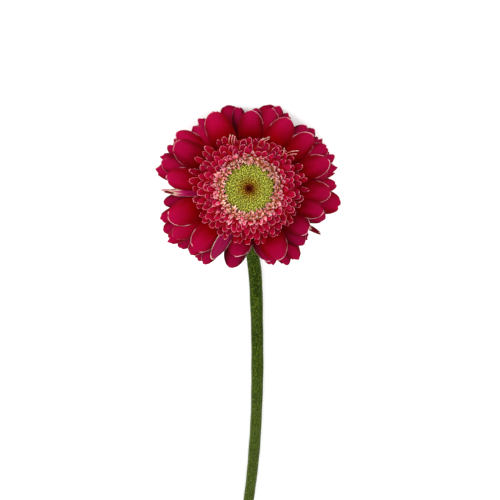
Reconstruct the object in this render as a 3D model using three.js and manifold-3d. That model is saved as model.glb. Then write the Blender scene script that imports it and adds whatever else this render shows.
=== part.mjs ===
// A cut mini gerbera lying on a flat surface: a nodding head of red ray florets around a
// frilled ring of short florets and a yellow-green disc, on a bare green stem.
// Millimetres, +Z up. The stem runs along -Y and the face of the head looks up and along +Y.

import * as THREE from 'three';
import { mergeVertices } from 'three/addons/utils/BufferGeometryUtils.js';
import Module from 'manifold-3d';

const wasm = await Module();
wasm.setup();

// Driving dimensions
const headTilt = 40; // degrees between the head's axis and the vertical
const stemRadius = 2.5;
const stemFlare = 0.55; // extra radius where the stem meets the head
const neckRadius = 40.92; // bend of the neck, to the stem's centre line
const stemLength = 225; // from the head's base back to the cut end, along -Y
const stemSides = 12;
const stemSteps = 30;
const boxCentre = { x: -0.352, y: -98.105 }; // middle of the whole outline seen from above
const rayThickness = 0.62;
const raySetback = 0.25; // how far a ray floret's side corners stop short of its tip
const rayDome = 0.6;

const tilt = THREE.MathUtils.degToRad(headTilt);
const neckDrop = neckRadius * (1 - Math.sin(tilt));
const headHeight = stemRadius + neckDrop; // height of the head's base above the surface

// Paths of the ray florets from collar to tip, as radius and height pairs, upper rank first
const rayRanks = [
  { root: [11.6, 12.3], first: [15.5, 13.8], second: [0.76, 15.0], tip: 10.0, columns: 4, rows: 4 },
  { root: [11.6, 11.5], first: [15.5, 12.7], second: [0.76, 12.8], tip: 7.2, columns: 4, rows: 3 },
  { root: [11.6, 10.7], first: [15.5, 11.5], second: [0.76, 10.6], tip: 5.0, columns: 3, rows: 3 },
  { root: [11.6, 10.0], first: [15.5, 10.3], second: [0.76, 8.5], tip: 3.2, columns: 3, rows: 3 },
];

// Each ray floret: azimuth in degrees, reach, half width, rank, roll in degrees, droop, then for
// some the clearance that they keep above the surface, and whether they stand on it by their tips
const rayFlorets = [
  [88.5, 29.5, 4.9, 1, 3, 0],
  [60, 30.4, 5.1, 1, -4, 0],
  [39.5, 31.6, 4.5, 1, 6, 0.3],
  [19.5, 32.0, 4.6, 1, -5, 0],
  [-3, 31.2, 4.4, 1, 8, 0.4],
  [-17, 29.6, 4.3, 1, -6, -0.3],
  [-37.5, 27.8, 5.0, 1, 5, 0],
  [-66, 29.3, 5.4, 1, -3, 0.5],
  [-98, 26.3, 4.8, 1, 4, 0],
  [-131.5, 31.2, 5.1, 1, -6, 0],
  [-160, 32.5, 5.3, 1, 4, 0.3],
  [172, 31.6, 4.6, 1, -5, 0],
  [149, 32.7, 5.2, 1, 5, 0.3],
  [117.5, 31.6, 5.3, 1, -3, 0],
  [73.5, 31.6, 4.4, 2, 5, 0],
  [49, 31.6, 4.2, 2, -6, 0],
  [28, 33.8, 4.2, 2, 5, 0.3],
  [12, 30.6, 4.2, 2, 10, 0],
  [-24, 30.4, 4.2, 2, 6, 0],
  [-46, 29.3, 4.3, 2, -8, 0],
  [-78, 28.6, 4.4, 2, 7, 0],
  [-103, 31.2, 4.5, 2, -5, 0],
  [-116.5, 30.0, 3.4, 1, 12, -0.6],
  [-148, 34.1, 4.4, 2, 6, 0],
  [-177.5, 33.3, 1.4, 2, -20, -1.8],
  [163, 34.7, 4.2, 2, 5, 0],
  [142, 34.8, 4.3, 2, -6, 0],
  [131, 30.8, 4.2, 2, 4, 0],
  [105, 34.0, 4.4, 4, 0, 1.6, 0, true],
  [96.5, 31.0, 3.2, 3, -5, 0, 0.62],
  [84, 31.2, 3.3, 3, 6, 0, 0.5],
  [77, 33.9, 4.2, 4, 0, 1.4, 0, true],
  [69, 33.5, 3.5, 3, 5, 0, 0.74],
  [62.5, 32.2, 3.3, 4, -6, 0],
  [41.5, 33.2, 3.5, 3, 5, 0],
  [34, 33.5, 3.4, 4, -4, 0],
  [20.5, 34.5, 3.6, 3, 7, 0],
  [13.5, 34.3, 3.4, 4, -5, 0],
  [3, 32.7, 3.4, 3, 6, 0],
  [-10.5, 35.2, 5.0, 4, -4, 0],
  [-31, 31.6, 1.5, 3, 25, -1.5],
  [-41, 29.4, 3.4, 4, 4, 0],
  [-55, 32.5, 3.5, 3, -5, 0],
  [-63, 32.3, 3.4, 4, 6, 0],
  [-71, 30.4, 3.4, 3, -4, 0],
  [-92, 28.6, 3.3, 4, 4, 0],
  [-120, 33.1, 3.4, 3, 8, 0],
  [-124.5, 33.7, 3.3, 4, -5, 0],
  [-132, 33.9, 3.5, 3, 6, 0],
  [-139.5, 34.7, 3.5, 4, -6, 0],
  [-146.5, 36.4, 3.5, 3, 5, 0],
  [-153.5, 36.2, 3.4, 4, -5, 0],
  [-160.5, 35.4, 3.4, 3, 6, 0],
  [-171, 33.1, 3.3, 4, -5, 0],
  [168.5, 36.0, 3.6, 3, 5, 0],
  [160.5, 36.0, 3.4, 4, -6, 0],
  [153, 34.8, 3.3, 3, 5, 0],
  [147, 34.0, 3.3, 4, -4, 0],
  [131.5, 32.6, 3.2, 4, 8, 0],
  [124, 32.9, 3.4, 3, -6, 0, 0.66],
  [115, 32.9, 3.3, 4, 5, 0, 0.45],
];

// Rows of short frilled florets between the rays and the disc, outermost row first
const frillRows = [
  {
    count: 20, half: 1.8, rows: 2,
    root: [16.5, 15.0], first: [17.6, 16.6], second: [19.2, 17.1], tip: [20.9, 16.0],
  },
  {
    count: 20, half: 1.75, rows: 1,
    root: [15.3, 15.7], first: [16.0, 17.4], second: [18.2, 18.0], tip: [20.0, 17.0],
  },
  {
    count: 19, half: 1.7, rows: 1,
    root: [14.2, 16.0], first: [15.0, 17.4], second: [16.6, 18.6], tip: [17.8, 18.4],
  },
  {
    count: 17, half: 1.6, rows: 1,
    root: [13.3, 15.6], first: [13.8, 17.0], second: [14.6, 18.4], tip: [15.3, 19.2],
  },
];

// Rows of small pale florets around the disc: the outer row stands, the inner row bends inward
const paleRows = [
  {
    count: 17, half: 1.2, rows: 1,
    root: [11.1, 14.8], first: [11.2, 16], second: [11.4, 17.5], tip: [12.0, 18.7],
  },
  {
    count: 16, half: 1.1, rows: 1,
    root: [10.2, 14.8], first: [10.4, 16], second: [10.2, 17.5], tip: [9.6, 18.5],
  },
];

// Rows of green bracts on the cup under the head
const bractRows = [
  {
    count: 15, half: 1.3, rows: 1,
    root: [8.2, 6.4], first: [9.0, 6.6], second: [10.2, 7.4], tip: [11.2, 8.5],
  },
  {
    count: 12, half: 1.3, rows: 1,
    root: [6.4, 3.6], first: [7.4, 4.0], second: [9.0, 4.9], tip: [10.4, 6.2],
  },
];

// Outlines turned around the head's axis, as radius and height pairs
const cupProfile = [[0, 0.45], [3.2, 0.45], [5.2, 1.4], [7.6, 4.2], [9.0, 8.7], [0, 8.7]];
const collarProfile = [
  [0, 9.0], [8.6, 9.0], [13.0, 9.3], [13.9, 10.2], [13.9, 12.4],
  [13.0, 12.9], [9.6, 12.0], [8.4, 11.0], [0, 11.0],
];
const discProfile = [
  [0, 11.3], [6.6, 11.3], [8.9, 13.2], [9.2, 15.2], [8.6, 16.4],
  [6.6, 17.2], [4.0, 17.0], [2.6, 16.3], [0, 16.3],
];
const paleProfile = [[9.5, 12.5], [11.8, 13.2], [11.8, 15.1], [10.8, 15.7], [9.5, 15.1]];
const frillProfile = [
  [12.4, 13.5], [14.8, 13.9], [17.4, 14.1], [17.6, 15.0], [16.2, 16.3], [14.2, 16.8], [12.8, 16.0],
];
const budProfile = [[0, 16.6], [2.1, 16.6], [1.9, 17.0], [1.1, 17.4], [0, 17.5]];

// A repeatable number from 0 to 1 for item index, different for each channel
function scatter(index, channel) {
  const value = Math.sin(index * 12.9898 + channel * 78.233) * 43758.5453;
  return value - Math.floor(value);
}

function curveOf(root, first, second, tip) {
  return new THREE.CubicBezierCurve(
    new THREE.Vector2(...root),
    new THREE.Vector2(...first),
    new THREE.Vector2(...second),
    new THREE.Vector2(...tip),
  );
}

// A thin closed blade: pointAt(u, v, face) gives a point for u -1..1 across, v 0..1 along and
// face 1 (upper) or 0 (lower). Both faces are split along the same diagonals.
function bladeGeometry(columns, rows, pointAt) {
  const positions = [];
  for (const face of [1, 0]) {
    for (let row = 0; row <= rows; row += 1) {
      for (let column = 0; column <= columns; column += 1) {
        const point = pointAt(1 - (2 * column) / columns, row / rows, face);
        positions.push(point.x, point.y, point.z);
      }
    }
  }
  const wide = columns + 1;
  const lower = wide * (rows + 1);
  const triangles = [];
  for (let row = 0; row < rows; row += 1) {
    for (let column = 0; column < columns; column += 1) {
      const a = row * wide + column;
      const b = a + 1;
      const c = a + wide + 1;
      const d = a + wide;
      if (column < columns / 2) {
        triangles.push(a, b, c, a, c, d);
        triangles.push(lower + a, lower + c, lower + b, lower + a, lower + d, lower + c);
      } else {
        triangles.push(a, b, d, b, c, d);
        triangles.push(lower + a, lower + d, lower + b, lower + b, lower + d, lower + c);
      }
    }
  }
  const rim = [];
  for (let column = 0; column < columns; column += 1) {
    rim.push(column);
  }
  for (let row = 0; row < rows; row += 1) {
    rim.push(row * wide + columns);
  }
  for (let column = columns; column > 0; column -= 1) {
    rim.push(rows * wide + column);
  }
  for (let row = rows; row > 0; row -= 1) {
    rim.push(row * wide);
  }
  rim.forEach((here, index) => {
    const next = rim[(index + 1) % rim.length];
    triangles.push(lower + here, lower + next, next, lower + here, next, here);
  });
  const geometry = new THREE.BufferGeometry();
  geometry.setAttribute('position', new THREE.Float32BufferAttribute(positions, 3));
  geometry.setIndex(triangles);
  return geometry;
}

// A floret's point in the head's frame: its path lies in the plane of its azimuth, and its
// width, dome and roll are laid across the path
function floretPoint(floret, u, v, face) {
  const end = 1 - floret.setback * (1 - Math.sqrt(Math.max(0, 1 - u * u)));
  const along = v * end;
  const place = floret.path.getPoint(along);
  const heading = floret.path.getTangent(along);
  const widening = floret.claw + (1 - floret.claw) * THREE.MathUtils.smoothstep(along, 0, floret.full);
  const spread = widening * (1 - floret.taper * THREE.MathUtils.smoothstep(along, 0.7, 1));
  const sideways = floret.half * spread * u;
  const rise = -floret.dome * u * u * spread - (face ? 0 : floret.thickness);
  const roll = floret.roll * along;
  const across = sideways * Math.cos(roll) - rise * Math.sin(roll);
  const outward = sideways * Math.sin(roll) + rise * Math.cos(roll);
  const radius = place.x - heading.y * outward;
  const height = place.y + heading.x * outward;
  const cos = Math.cos(floret.azimuth);
  const sin = Math.sin(floret.azimuth);
  return new THREE.Vector3(radius * cos - across * sin, radius * sin + across * cos, height);
}

// How far a head point is above the surface that the flower lies on
function heightAbove(point) {
  return headHeight - point.y * Math.sin(tilt) + point.z * Math.cos(tilt);
}

// A ray floret's point, lifted off the surface where the floret would reach through it. Both
// faces rise together, except on a floret that stands on its tip, whose end is cut off level.
function rayPoint(floret, u, v, face) {
  const point = floretPoint(floret, u, v, face);
  const under = face && !floret.stands ? floretPoint(floret, u, v, 0) : point;
  const lift = floret.clearance - heightAbove(under);
  if (lift > 0) {
    point.y -= lift * Math.sin(tilt);
    point.z += lift * Math.cos(tilt);
  }
  return point;
}

function solidOf(geometry) {
  const shape = geometry.clone();
  shape.deleteAttribute('normal');
  shape.deleteAttribute('uv');
  const merged = mergeVertices(shape, 1e-4);
  const mesh = new wasm.Mesh({
    numProp: 3,
    vertProperties: new Float32Array(merged.attributes.position.array),
    triVerts: new Uint32Array(merged.index.array),
  });
  return new wasm.Manifold(mesh);
}

function geometryOf(solid) {
  const mesh = solid.getMesh();
  const geometry = new THREE.BufferGeometry();
  const count = mesh.vertProperties.length / mesh.numProp;
  const positions = new Float32Array(count * 3);
  for (let index = 0; index < count; index += 1) {
    for (let axis = 0; axis < 3; axis += 1) {
      positions[index * 3 + axis] = mesh.vertProperties[index * mesh.numProp + axis];
    }
  }
  geometry.setAttribute('position', new THREE.BufferAttribute(positions, 3));
  geometry.setIndex(new THREE.BufferAttribute(new Uint32Array(mesh.triVerts), 1));
  geometry.computeVertexNormals();
  return geometry;
}

// A profile turned around the head's axis. LatheGeometry turns around Y, so it is stood up.
function turned(profile, sides, closed) {
  const points = profile.map(([radius, height]) => new THREE.Vector2(radius, height));
  if (closed) {
    points.push(points[0].clone());
  }
  const geometry = new THREE.LatheGeometry(points, sides);
  geometry.rotateX(Math.PI / 2);
  return geometry;
}

// One body of a base and its blades. Pockets closed in between crossing blades are filled:
// of the skins in the result, only the one with the most faces is kept.
function fused(base, blades) {
  let whole = solidOf(base);
  for (const blade of blades) {
    whole = whole.add(solidOf(blade));
  }
  return outerSkin(geometryOf(whole));
}

function outerSkin(geometry) {
  const corners = geometry.index.array;
  const owner = Array.from({ length: geometry.attributes.position.count }, (_, index) => index);
  const find = (index) => {
    let top = index;
    while (owner[top] !== top) {
      owner[top] = owner[owner[top]];
      top = owner[top];
    }
    return top;
  };
  for (let corner = 0; corner < corners.length; corner += 3) {
    owner[find(corners[corner])] = find(corners[corner + 1]);
    owner[find(corners[corner + 1])] = find(corners[corner + 2]);
  }
  const faces = new Map();
  for (let corner = 0; corner < corners.length; corner += 3) {
    const skin = find(corners[corner]);
    const face = [corners[corner], corners[corner + 1], corners[corner + 2]];
    faces.set(skin, (faces.get(skin) ?? []).concat(face));
  }
  const kept = [...faces.values()].reduce((most, skin) => (skin.length > most.length ? skin : most));
  geometry.setIndex(kept);
  return geometry;
}

function rowBlades(rows, settings, first) {
  const blades = [];
  let index = first;
  for (const row of rows) {
    for (let place = 0; place < row.count; place += 1) {
      const turn = (place + 0.5 * (rows.indexOf(row) % 2) + 0.3 * scatter(index, 1)) / row.count;
      const floret = {
        azimuth: turn * 2 * Math.PI,
        path: curveOf(row.root, row.first, row.second, row.tip),
        half: row.half * (0.88 + 0.2 * scatter(index, 2)),
        roll: (scatter(index, 3) - 0.5) * 0.3,
        ...settings,
      };
      blades.push(bladeGeometry(2, row.rows, (u, v, face) => floretPoint(floret, u, v, face)));
      index += 1;
    }
  }
  return blades;
}

function rayBlades() {
  return rayFlorets.map((row) => {
    const [azimuth, reach, half, rank, roll, droop, clearance = 0.35, stands = false] = row;
    const path = rayRanks[rank - 1];
    const second = [path.second[0] * reach, path.second[1]];
    const floret = {
      azimuth: THREE.MathUtils.degToRad(azimuth),
      path: curveOf(path.root, path.first, second, [reach, path.tip - droop]),
      half,
      roll: THREE.MathUtils.degToRad(roll),
      setback: raySetback,
      dome: rayDome,
      claw: 0.3,
      full: 0.68,
      taper: 0.1,
      thickness: rayThickness,
      clearance,
      stands,
    };
    return bladeGeometry(path.columns, path.rows, (u, v, face) => rayPoint(floret, u, v, face));
  });
}

// Pointed buds in a sunflower spiral over the disc, standing along its dome
function discBuds(count, inner, outer, size) {
  const golden = Math.PI * (3 - Math.sqrt(5));
  const buds = [];
  for (let index = 0; index < count; index += 1) {
    const radius = Math.sqrt(inner ** 2 + ((outer ** 2 - inner ** 2) * (index + 0.5)) / count);
    const angle = index * golden;
    const lean = (0.5 * (radius - 5)) / 4;
    const bud = new THREE.ConeGeometry(size, 2.4, 3, 1);
    bud.rotateX(Math.PI / 2);
    bud.rotateZ(scatter(index, 5) * 2);
    bud.rotateY(lean);
    bud.translate(radius, 0, discHeight(radius) + 0.1);
    bud.rotateZ(angle);
    buds.push(bud);
  }
  return buds;
}

function discHeight(radius) {
  const rim = 0.9 * Math.max(0, (radius - 6.6) / 2) ** 2;
  const dimple = 0.75 * Math.max(0, 1 - radius / 4.2);
  return 17.15 - rim - dimple;
}

function centreBuds() {
  const buds = [];
  for (let index = 0; index < 9; index += 1) {
    const radius = index === 0 ? 0 : 0.75 + 0.55 * (index % 2);
    const bud = new THREE.ConeGeometry(0.42, 1.2, 4, 1);
    bud.rotateX(Math.PI / 2);
    bud.rotateY(0.25);
    bud.translate(radius, 0, 17.45 - 0.12 * radius);
    bud.rotateZ(index * 0.8);
    buds.push(bud);
  }
  return buds;
}

// The stem's centre line: down the neck's bend, then along the surface with a slight bow to +X
class StemLine extends THREE.Curve {
  getPoint(share, target = new THREE.Vector3()) {
    const bend = Math.PI / 2 - tilt;
    const neck = neckRadius * bend;
    const straight = stemLength - neckRadius * Math.sin(bend);
    const along = share * (neck + straight);
    const angle = bend - Math.min(along, neck) / neckRadius;
    const back = neckRadius * (Math.sin(bend) - Math.sin(angle)) + Math.max(0, along - neck);
    const height = headHeight - neckRadius * (Math.cos(angle) - Math.cos(bend));
    return target.set(bow(back), -back, height);
  }
}

function bow(back) {
  const share = back / 219;
  return 11.46 * share * (1 - share) * (1 + 0.62 * share);
}

function stemGeometry() {
  const curve = new StemLine();
  const geometry = new THREE.CylinderGeometry(1, 1, 1, stemSides, stemSteps);
  const positions = geometry.attributes.position;
  const length = curve.getLength();
  const sideways = new THREE.Vector3(1, 0, 0);
  for (let index = 0; index < positions.count; index += 1) {
    const share = 0.5 - positions.getY(index);
    const centre = curve.getPointAt(share);
    const heading = curve.getTangentAt(share);
    const across = sideways.clone().addScaledVector(heading, -heading.x).normalize();
    const up = new THREE.Vector3().crossVectors(across, heading).negate();
    const from = share * length;
    const radius = stemRadius + stemFlare * Math.exp(-((from / 5) ** 2));
    centre.addScaledVector(across, positions.getX(index) * radius);
    centre.addScaledVector(up, positions.getZ(index) * radius);
    positions.setXYZ(index, centre.x, centre.y, centre.z);
  }
  const merged = geometry.clone();
  merged.deleteAttribute('normal');
  merged.deleteAttribute('uv');
  return geometryOf(solidOf(merged));
}

const petalRed = new THREE.MeshStandardMaterial({ color: 0xa8063a, roughness: 0.72, metalness: 0 });
const frillRed = new THREE.MeshStandardMaterial({ color: 0xc01448, roughness: 0.7, metalness: 0 });
const palePink = new THREE.MeshStandardMaterial({ color: 0xf0b8a8, roughness: 0.7, metalness: 0 });
const discGreen = new THREE.MeshStandardMaterial({ color: 0xa9b338, roughness: 0.75, metalness: 0 });
const centreMaroon = new THREE.MeshStandardMaterial({ color: 0x3a0a0c, roughness: 0.8, metalness: 0 });
const cupGreen = new THREE.MeshStandardMaterial({ color: 0x5a6e28, roughness: 0.75, metalness: 0 });
const stemGreen = new THREE.MeshStandardMaterial({ color: 0x485420, roughness: 0.7, metalness: 0 });

function named(name, geometry, material) {
  const mesh = new THREE.Mesh(geometry, material);
  mesh.name = name;
  return mesh;
}

const shortBlade = { setback: 0.26, dome: 0.35, claw: 0.7, full: 0.6, taper: 0.3, thickness: 0.62 };
const bractBlade = { setback: 0.5, dome: -0.1, claw: 0.8, full: 0.5, taper: 0.5, thickness: 0.7 };

const head = new THREE.Group();
head.position.set(0, 0, headHeight);
head.rotation.x = -tilt;
const cup = fused(turned(cupProfile, 18), rowBlades(bractRows, bractBlade, 300));
const rays = fused(turned(collarProfile, 24), rayBlades());
const frill = fused(turned(frillProfile, 24, true), rowBlades(frillRows, shortBlade, 100));
const pale = fused(turned(paleProfile, 24, true), rowBlades(paleRows, shortBlade, 20));
const disc = fused(turned(discProfile, 24), discBuds(66, 3.0, 8.7, 0.56));
const centre = fused(turned(budProfile, 12), centreBuds());
head.add(named('involucre', cup, cupGreen));
head.add(named('ray_florets', rays, petalRed));
head.add(named('frill_florets', frill, frillRed));
head.add(named('pale_florets', pale, palePink));
head.add(named('disc_florets', disc, discGreen));
head.add(named('centre_buds', centre, centreMaroon));

const gerbera = new THREE.Group();
gerbera.position.set(-boxCentre.x, -boxCentre.y, 0);
gerbera.add(named('stem', stemGeometry(), stemGreen));
gerbera.add(head);

export default gerbera;
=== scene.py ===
import math
from functools import partial

import bpy
import numpy as np
from mathutils import Matrix, Vector


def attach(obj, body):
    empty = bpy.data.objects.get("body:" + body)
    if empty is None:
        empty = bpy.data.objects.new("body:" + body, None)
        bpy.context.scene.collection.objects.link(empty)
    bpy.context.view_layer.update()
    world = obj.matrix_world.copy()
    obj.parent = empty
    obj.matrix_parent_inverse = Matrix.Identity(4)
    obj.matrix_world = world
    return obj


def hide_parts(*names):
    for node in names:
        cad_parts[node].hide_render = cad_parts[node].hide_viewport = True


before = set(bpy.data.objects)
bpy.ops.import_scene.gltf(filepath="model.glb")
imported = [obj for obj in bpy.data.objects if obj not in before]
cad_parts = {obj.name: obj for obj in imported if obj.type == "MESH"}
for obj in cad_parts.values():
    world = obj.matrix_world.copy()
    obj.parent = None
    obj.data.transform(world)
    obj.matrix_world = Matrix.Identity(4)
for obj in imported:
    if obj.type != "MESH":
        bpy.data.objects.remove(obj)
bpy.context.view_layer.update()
print("frame loaded")

# The head stands on its base point and is tilted; its pieces are drawn in millimetres in the
# head's own frame: x across, y along the picture's upward direction, z out of its face.
flower = {
    "headTilt": 40.0,  # degrees between the head's axis and the vertical
    "headBase": (0.352, 98.105),  # where the head's base stands, mm
    "neckRadius": 40.92,  # of the stem's bend below the head
    "stemRadius": 2.5,
    "stemFlare": 0.55,  # how much thicker the stem is where it meets the head
    "stemFlareLength": 5.0,
    "stemLength": 225.0,
}
mm = 0.001
fullTurn = 2 * math.pi
goldenAngle = math.pi * (3 - math.sqrt(5))
# painted light falls on this side of the frill and the pale ring
paintedLightSide = math.radians(215)  # the florets at the lower left are the lighter ones
tilt = math.radians(flower["headTilt"])
headHeight = flower["stemRadius"] + flower["neckRadius"] * (1 - math.sin(tilt))
headMatrix = (
    Matrix.Translation(Vector((flower["headBase"][0], flower["headBase"][1], headHeight)) * mm)
    @ Matrix.Rotation(-tilt, 4, "X")
    @ Matrix.Scale(mm, 4)
)


def scatter(index, channel):  # a repeatable number from 0 to 1
    value = math.sin(index * 12.9898 + channel * 78.233) * 43758.5453
    return value - math.floor(value)


def smoothStep(value, low, high):
    share = np.clip((value - low) / (high - low), 0, 1)
    return share * share * (3 - 2 * share)


def deselectAll():
    if bpy.context.object and bpy.context.object.mode != "OBJECT":
        bpy.ops.object.mode_set(mode="OBJECT")
    bpy.ops.object.select_all(action="DESELECT")


def pick(*pieces):
    deselectAll()
    for piece in pieces:
        piece.select_set(True)
    bpy.context.view_layer.objects.active = pieces[0]


def editAll():
    bpy.ops.object.mode_set(mode="EDIT")
    bpy.ops.mesh.select_all(action="SELECT")


def pointsOf(piece):
    points = np.empty(len(piece.data.vertices) * 3)
    piece.data.vertices.foreach_get("co", points)
    return points.reshape(-1, 3)


def copyOf(piece):
    twin = piece.copy()
    twin.data = piece.data.copy()
    bpy.context.collection.objects.link(twin)
    return twin


def joined(copies, name):
    pick(*copies)
    bpy.ops.object.join()
    whole = bpy.context.object
    whole.name = name
    whole.data.name = name
    return whole


def applyModifier(piece, kind, **settings):
    pick(piece)
    modifier = piece.modifiers.new(kind.title(), kind)
    for key, value in settings.items():
        setattr(modifier, key, value)
    bpy.ops.object.modifier_apply(modifier=modifier.name)


def shadeSmooth(piece, angle=50):
    pick(piece)
    bpy.ops.object.shade_smooth_by_angle(angle=math.radians(angle))


def setTone(piece, tone, name="tone"):
    layer = piece.data.attributes.get(name) or piece.data.attributes.new(name, "FLOAT", "POINT")
    layer.data.foreach_set("value", np.full(len(piece.data.vertices), tone, dtype=np.float32))


def finishPiece(piece, node=None):
    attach(piece, "root")
    if node:
        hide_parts(node)
    triangles = sum(len(face.vertices) - 2 for face in piece.data.polygons)
    print("made", piece.name, "with", triangles, "triangles")


def hexColour(code):  # from an sRGB hex value to linear
    channels = [int(code[i:i + 2], 16) / 255 for i in (1, 3, 5)]
    linear = [c / 12.92 if c <= 0.04045 else ((c + 0.055) / 1.055) ** 2.4 for c in channels]
    return (*linear, 1.0)


def addNode(tree, kind, *inputs, output=0, stops=(), **settings):
    # adds a node and gives back one of its outputs; its inputs are given by name, or in the
    # order in which they show, and the other settings are the node's own
    node = tree.nodes.new("ShaderNode" + kind)
    for key, value in settings.items():
        if key not in node.inputs:
            setattr(node, key, value)
    shown = [socket for socket in node.inputs if socket.enabled]
    named = [(node.inputs[key], value) for key, value in settings.items() if key in node.inputs]
    for socket, value in [*zip(shown, inputs), *named]:
        if isinstance(value, bpy.types.NodeSocket):
            tree.links.new(value, socket)
        else:
            socket.default_value = value
    for number, (place, colour) in enumerate(stops):
        elements = node.color_ramp.elements  # a new ramp has two stops already
        element = elements[number] if number < 2 else elements.new(place)
        element.position = place
        element.color = hexColour(colour)
    return node.outputs[output]


# settings that many nodes share
times = {"operation": "MULTIPLY"}
plus = {"operation": "ADD"}
minus = {"operation": "SUBTRACT"}
soft = {"interpolation_type": "SMOOTHSTEP"}
blended = {"output": 2, "data_type": "RGBA"}


def startMaterial(name, roughness, **values):  # gives the material and what adds its nodes
    material = bpy.data.materials.new(name)
    material.use_nodes = True
    tree = material.node_tree
    shader = tree.nodes["Principled BSDF"]
    shader.inputs["Roughness"].default_value = roughness
    for key, value in values.items():
        shader.inputs[key.replace("_", " ")].default_value = value
    return material, partial(addNode, tree)


def finishMaterial(material, colour, relief=None):
    tree = material.node_tree
    shader = tree.nodes["Principled BSDF"]
    tree.links.new(colour, shader.inputs["Base Color"])
    if relief:
        tree.links.new(relief, shader.inputs["Normal"])
    return material


fadedPetal = [  # an old petal's tip dries from magenta through tan to a dark rim
    (0.6, "#7C0430"), (0.72, "#8C0C44"), (0.8, "#A03458"), (0.87, "#B07478"),
    (0.93, "#B89C84"), (0.965, "#58000C"),
]


def petalSkin(name, look):
    # Velvet petal skin: the outer cells are tiny cones, which gives a deep matte colour with a
    # pink sheen at glancing angles. A painted sheen lightens the middle of the tip, and painted
    # shade darkens the sides. Veins run lengthwise, and the thin margin is nearly white, partly
    # in its own colour and partly as painted highlight.
    # "width", "length" and "edge" are in mm, "veins" is the number of vein streaks across.
    glance = hexColour(look["pinkSheen"])
    material, add = startMaterial(
        name, look["roughness"], Sheen_Weight=look["sheen"], Sheen_Roughness=0.4,
        Sheen_Tint=glance, Specular_IOR_Level=0.2, Specular_Tint=glance, IOR=1.3,
        Subsurface_Weight=look["glow"], Subsurface_Scale=0.0005,
        Subsurface_Radius=(1.0, 0.3, 0.4),
    )
    across, along = add("SeparateXYZ", add("UVMap", uv_map="UVMap")).node.outputs[:2]
    tone, fade, inner, plain = (
        add("Attribute", output="Fac", attribute_name=kind)
        for kind in ("tone", "fade", "inner", "plain")
    )

    # lengthwise streaks and broad blotches, different on each petal
    shift = add("Math", tone, 37.0, **times)
    streak = add("Math", add("Math", across, look["veins"], **times), shift, **plus)
    streaks = add("CombineXYZ", streak, add("Math", along, 1.6, **times), shift)
    veins = add("TexNoise", streaks, Scale=1.0, Detail=3.0, Roughness=0.6)
    wide = add("Math", across, 2.0, **times)
    blotches = add("CombineXYZ", wide, add("Math", along, 4.0, **times), shift)
    blotch = add("TexNoise", blotches, Scale=1.0, Detail=2.0)

    # colour from root to tip, then veins and the petal's lightness; the ray petals' dark root is
    # partly their own deep red and partly painted shade under the frill, and the lightness
    # differs at random and also carries painted light and shade
    wander = add("MapRange", blotch, 0.3, 0.7, -0.12, 0.12, **soft)
    grade = add("Math", along, wander, **plus)
    colour = add("ValToRGB", grade, stops=look["lengthwise"])
    # petals marked "dark" get painted shade over their outer part; on the florets this is a real
    # tint of the inner rings and of some pale florets
    tintAndShade = add("Math", inner, add("MapRange", along, 0.2, 0.9, **soft), **times)
    colour = add("Mix", tintAndShade, colour, hexColour(look["tintAndShadeColour"]), **blended)
    veined = add("MapRange", veins, 0.35, 0.75, 0.0, look["veinDepth"], **soft)
    colour = add("Mix", veined, colour, hexColour(look["veinColour"]), **blended)
    lift = add("MapRange", tone, 0.0, 1.0, 0.64, 1.24, **soft)
    colour = add("HueSaturation", Value=lift, Color=colour)

    # painted sheen in the middle of the tip, and painted shade on the sides
    fromMiddle = add("Math", add("Math", across, 0.5, **minus), operation="ABSOLUTE")
    middle = add("MapRange", fromMiddle, 0.08, 0.42, 1.0, 0.0, **soft)
    pinkSheen = add("MapRange", along, 0.62, 0.95, 0.0, look["paintedSheenShare"], **soft)
    pinkSheen = add("Math", middle, pinkSheen, **times)
    colour = add("Mix", pinkSheen, colour, hexColour(look["paintedSheenColour"]), **blended)
    shade = add("MapRange", fromMiddle, 0.15, 0.5, 1.0, look["sideShade"], **soft)
    colour = add("HueSaturation", Value=shade, Color=colour)

    # faded petals
    older = add("MapRange", fade, 1.0, 2.0, 0.0, 0.06, **soft)
    faded = add("ValToRGB", add("Math", grade, older, **plus), stops=fadedPetal)
    dried = add("Math", fade, add("MapRange", grade, 0.45, 0.65, **soft), **times)
    colour = add("Mix", dried, colour, faded, **blended)

    # the pale margin, partly its own colour and partly painted highlight, by its distance in mm
    # from the petal's side and tip
    margin, start = look["edge"], look["edgeFrom"]
    sideGap = add("Math", add("Math", 0.5, fromMiddle, **minus), look["width"], **times)
    tipGap = add("Math", add("Math", 1.0, along, **minus), look["length"], **times)
    gap = add("Math", sideGap, tipGap, operation="MINIMUM")
    ragged = add("MapRange", blotch, 0.3, 0.7, -margin, margin * 0.6, **soft)
    gap = add("Math", gap, ragged, **plus)
    edge = add("MapRange", gap, margin * 0.4, margin * 1.3, 1.0, 0.0, **soft)
    for share in (
        add("MapRange", along, start, start + 0.1, **soft),
        add("MapRange", blotch, *look["edgeGaps"], **soft),
        add("Math", 1.0, plain, **minus),
    ):
        edge = add("Math", edge, share, **times)
    colour = add("Mix", edge, colour, hexColour(look["edgeColour"]), **blended)

    relief = add("Bump", Strength=0.6, Distance=look["relief"], Height=veins)
    return finishMaterial(material, colour, relief)


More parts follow.
